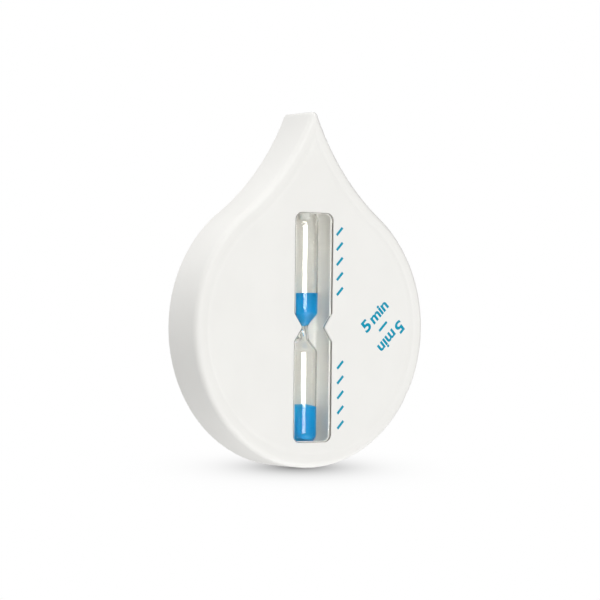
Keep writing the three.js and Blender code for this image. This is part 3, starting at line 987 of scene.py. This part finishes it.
# Outline of a cross recess
def cross_outline(x, z, reach, half_width):
    corners = [(reach, -half_width), (reach, half_width), (half_width, half_width)]
    outline = []
    for quarter in range(4):
        for px, pz in corners:
            for _ in range(quarter):
                px, pz = -pz, px
            outline.append((x + px, z + pz))
    return outline


# Turned screw whose profile ends at the rim of its flat head, with a tapered cross recess there
def screw(look, profile, x, z, reach, node):
    skin = Skin()
    skin.lathe(profile, SCREW_SIDES, in_depth(x, z))
    rim, top = profile[-1]
    width = RECESS_HALF_WIDTH
    mouth = cross_outline(x, z, reach, width)
    bottom = cross_outline(x, z, reach * RECESS_TAPER, width * RECESS_TAPER)
    skin.flat(circle(x, z, rim, SCREW_SIDES), [mouth], top)
    skin.band([at_depth(mouth, top), at_depth(bottom, top - RECESS_DEPTH)])
    skin.flat(bottom, [], top - RECESS_DEPTH)
    return skin.make(node + "_turned", look, TIMER, "screw_steel", node)


# Plain shank with a bevelled tip, up to the head
def shank_profile(tip, head):
    return [(0, tip), (SCREW_RADIUS - SCREW_TIP, tip), (SCREW_RADIUS, tip + SCREW_TIP), (SCREW_RADIUS, head)]


def case_screws(look):
    bevel = HEAD_LAND / 2
    profile = shank_profile(CASE_DEPTH - SCREW_LENGTH, CASE_DEPTH - SCREW_HEAD_HEIGHT)
    profile += [(SCREW_HEAD_RADIUS, CASE_DEPTH - HEAD_LAND), (SCREW_HEAD_RADIUS, CASE_DEPTH - bevel)]
    profile.append((SCREW_HEAD_RADIUS - bevel, CASE_DEPTH))
    for i, (x, z) in enumerate(boss_places()):
        screw(look, profile, x, z, RECESS_REACH, f"case_screw_{i + 1}")


def cradle_screws(look):
    seat = CRADLE_BACK + GLUE_GAP
    profile = shank_profile(seat - CRADLE_SCREW_LENGTH, seat)
    profile += [(SCREW_HEAD_RADIUS, seat), (SCREW_HEAD_RADIUS, seat + SCREW_HEAD_HEIGHT / 2)]
    dome = SCREW_HEAD_RADIUS / 2
    for i in range(1, CORNER_STEPS + 1):
        angle = math.pi / 2 * i / CORNER_STEPS
        rise = SCREW_HEAD_HEIGHT / 2 * (1 + math.sin(angle))
        profile.append((dome + dome * math.cos(angle), seat + rise))
    for side, node in ((-1, "cradle_screw_left"), (1, "cradle_screw_right")):
        screw(look, profile, side * CRADLE_SCREW_X, 0, dome * PAN_RECESS, node)


# Thin slab of ink on the face
def add_ink(skin, outline):
    skin.band([at_depth(outline, INK_SUNK), at_depth(outline, -INK_PROUD)])
    skin.flat(outline, [], INK_SUNK)
    skin.flat(outline, [], -INK_PROUD)


# Straight stroke with square ends, centred at a point of the face
def stroke(x, z, length, width, turn):
    along = (math.cos(turn) * length / 2, math.sin(turn) * length / 2)
    aside = (-math.sin(turn) * width / 2, math.cos(turn) * width / 2)
    ends = ((1, -1), (1, 1), (-1, 1), (-1, -1))
    return [(x + a * along[0] + b * aside[0], z + a * along[1] + b * aside[1]) for a, b in ends]


# Two rows of ticks, printed a little askew as in the photo
def tick_marks(look):
    skin = Skin()
    for height in TICK_HEIGHTS:
        for side in (1, -1):
            z = side * height - TICK_DROP
            x = TICK_X - z * math.tan(TICK_LEAN)
            add_ink(skin, stroke(x, z, TICK_LENGTH, INK_STROKE, TICK_TURN))
    return skin.make("tick_ink", look, TIMER, "blue_ink")


# Flat letters in Blender's own font
def letter_mesh(word):
    curve = bpy.data.curves.new("legend_curve", "FONT")
    curve.body = word
    curve.extrude = INK_PROUD * MM
    curve.offset = LEGEND_WEIGHT
    holder = bpy.data.objects.new("legend_curve", curve)
    bpy.context.scene.collection.objects.link(holder)
    graph = bpy.context.evaluated_depsgraph_get()
    mesh = bpy.data.meshes.new_from_object(holder.evaluated_get(graph))
    bpy.data.objects.remove(holder)
    return mesh


# One word of the legend from its left end to its right end, above the baseline, turned about the dash
def add_word(skin, word, left, right, height, turn):
    letters = letter_mesh(word)
    xs = [v.co.x for v in letters.vertices]
    ys = [v.co.y for v in letters.vertices]
    stretch_x = (right - left) / (max(xs) - min(xs))
    stretch_y = height / (max(ys) - min(ys))
    points = []
    for vertex in letters.vertices:
        along = left + (vertex.co.x - min(xs)) * stretch_x
        up = LEGEND_BASELINE + (vertex.co.y - min(ys)) * stretch_y
        x = LEGEND_X + along * math.cos(turn) - up * math.sin(turn)
        z = LEGEND_Z + along * math.sin(turn) + up * math.cos(turn)
        points.append((x, FACE_Y + (-INK_PROUD if vertex.co.z > 0 else INK_SUNK), z))
    ring = skin.add(points)
    skin.faces += [tuple(ring[i] for i in face.vertices) for face in letters.polygons]
    bpy.data.meshes.remove(letters)


# Time legend that reads both ways up, with a dash between
def time_legend(look):
    skin = Skin()
    for turn in (LEGEND_TURN, LEGEND_TURN + math.pi):
        for word, left, right, height in LEGEND_WORDS:
            add_word(skin, word, left, right, height, turn)
    add_ink(skin, stroke(LEGEND_X, LEGEND_Z, DASH_LENGTH, INK_STROKE, LEGEND_TURN))
    return skin.make("legend_ink", look, TIMER, "blue_ink")


# Painted soft shadow where the timer stands, which fades into the white of the studio
def floor_shade():
    look, tree, principled = new_look("floor_shade")
    place = tree.nodes.new("ShaderNodeTexCoord")
    around = tree.nodes.new("ShaderNodeMapping")
    around.vector_type = "TEXTURE"
    around.inputs["Location"].default_value = Vector((0, FACE_Y + CASE_DEPTH / 2, -BODY_RADIUS)) * MM
    around.inputs["Rotation"].default_value = (0, 0, -CAMERA_TURN)
    around.inputs["Scale"].default_value = Vector((SHADE_WIDTH, SHADE_DEPTH, SHADE_DEPTH)) * MM
    tree.links.new(place.outputs["Object"], around.inputs["Vector"])
    away = tree.nodes.new("ShaderNodeVectorMath")
    away.operation = "LENGTH"
    tree.links.new(around.outputs["Vector"], away.inputs[0])
    fall = math_node(tree, "POWER", away.outputs["Value"], SHADE_FALL)
    shade = math_node(tree, "POWER", math.exp(-1), fall)
    # Black over the white backdrop, by this alpha, is the painted shadow
    tree.links.new(math_node(tree, "MULTIPLY", shade, SHADE_STRENGTH), principled.inputs["Alpha"])
    principled.inputs["Base Color"].default_value = BLACK
    principled.inputs["Specular IOR Level"].default_value = 0
    return look


def studio_floor():
    ring = circle(0, 0, FLOOR_RADIUS * MM, ROUND_SIDES)
    mesh = bpy.data.meshes.new("studio_floor")
    mesh.from_pydata([(x, y, -BODY_RADIUS * MM) for x, y in ring], [], [tuple(range(ROUND_SIDES))])
    mesh.materials.append(floor_shade())
    floor = bpy.data.objects.new("studio_floor", mesh)
    floor.visible_diffuse = False
    floor.visible_glossy = False
    floor.visible_shadow = False
    floor.visible_transmission = False
    bpy.context.scene.collection.objects.link(floor)


# Plain white to the camera, and soft light whose strength depends on its direction
def studio_world():
    world = bpy.data.worlds.new("studio")
    bpy.context.scene.world = world
    world.use_nodes = True
    tree = world.node_tree
    tree.nodes.clear()
    place = tree.nodes.new("ShaderNodeTexCoord")
    light = sky_strength(tree, place.outputs["Generated"])
    soft = tree.nodes.new("ShaderNodeBackground")
    tree.links.new(light, soft.inputs["Strength"])
    white = tree.nodes.new("ShaderNodeBackground")
    white.inputs["Color"].default_value = WHITE
    path = tree.nodes.new("ShaderNodeLightPath")
    mix = tree.nodes.new("ShaderNodeMixShader")
    tree.links.new(path.outputs["Is Camera Ray"], mix.inputs["Fac"])
    tree.links.new(soft.outputs["Background"], mix.inputs[1])
    tree.links.new(white.outputs["Background"], mix.inputs[2])
    output = tree.nodes.new("ShaderNodeOutputWorld")
    tree.links.new(mix.outputs["Shader"], output.inputs["Surface"])


# Strength by direction: a wide lobe for each soft lamp
def sky_strength(tree, direction):
    level = 0
    for towards, focus, strength in SKY_LOBES:
        facing = tree.nodes.new("ShaderNodeVectorMath")
        facing.operation = "DOT_PRODUCT"
        facing.inputs[1].default_value = Vector(towards).normalized()
        tree.links.new(direction, facing.inputs[0])
        lit = math_node(tree, "MAXIMUM", facing.outputs["Value"], 0)
        lobe = math_node(tree, "MULTIPLY", math_node(tree, "POWER", lit, focus), strength)
        level = math_node(tree, "ADD", lobe, level)
    return level


# Axes of the camera: ahead, to the right of the picture and up the picture
def camera_axes():
    ahead = Vector((math.sin(CAMERA_TURN) * math.cos(CAMERA_TILT),
                    math.cos(CAMERA_TURN) * math.cos(CAMERA_TILT),
                    -math.sin(CAMERA_TILT)))
    level = Vector((math.cos(CAMERA_TURN), -math.sin(CAMERA_TURN), 0))
    upright = level.cross(ahead)
    right = level * math.cos(CAMERA_ROLL) + upright * math.sin(CAMERA_ROLL)
    return ahead, right, right.cross(ahead)


def place_camera():
    ahead, right, up = camera_axes()
    place = Vector((0, FACE_Y, 0)) - ahead * CAMERA_DISTANCE + right * CAMERA_ASIDE + up * CAMERA_RAISED
    data = bpy.data.cameras.new("camera")
    data.lens = CAMERA_LENS
    data.sensor_width = CAMERA_SENSOR
    camera = bpy.data.objects.new("camera", data)
    turn = Matrix((right, up, -ahead)).transposed().to_4x4()
    camera.matrix_world = Matrix.Translation(place * MM) @ turn
    bpy.context.scene.collection.objects.link(camera)
    bpy.context.scene.camera = camera


# Softbox beside the camera, which the vial mirrors as a bright strip
def softbox():
    data = bpy.data.lights.new("softbox", "AREA")
    data.shape = "RECTANGLE"
    data.size = BOX_WIDTH * MM
    data.size_y = BOX_HEIGHT * MM
    data.energy = BOX_POWER
    lamp = bpy.data.objects.new("softbox", data)
    turn = CAMERA_TURN + BOX_ASIDE
    away = Vector((-math.sin(turn), -math.cos(turn), 0))
    lamp.location = (Vector((0, FACE_Y, BOX_RAISED)) + away * BOX_DISTANCE) * MM
    lamp.rotation_euler = away.to_track_quat("Z", "Y").to_euler()
    lamp.visible_diffuse = False
    lamp.visible_glossy = False
    bpy.context.scene.collection.objects.link(lamp)


def dress():
    plastic = case_plastic()
    front_shell(plastic)
    rear_cover(plastic)
    vial_cradle(cradle_plastic())
    window_pane(clear_plastic())
    pane_glue(glue_with_painted_shade())
    glass_vial(vial_glass())
    vial_stopper(stopper_plastic())
    sand = blue_sand()
    sand_upper(sand)
    sand_lower(sand)
    foam = pad_foam()
    end_pad(foam, 1, "end_pad_upper")
    end_pad(foam, -1, "end_pad_lower")
    suction_cup(cup_vinyl())
    steel = screw_steel()
    case_screws(steel)
    cradle_screws(steel)
    ink = blue_ink()
    tick_marks(ink)
    time_legend(ink)


def render_settings():
    scene = bpy.context.scene
    scene.view_settings.view_transform = "Standard"
    scene.cycles.blur_glossy = 0
    scene.cycles.sample_clamp_indirect = LIGHT_CLAMP
    scene.cycles.max_bounces = LIGHT_BOUNCES
    scene.cycles.transmission_bounces = LIGHT_BOUNCES


dress()
place_camera()
studio_floor()
studio_world()
softbox()
render_settings()
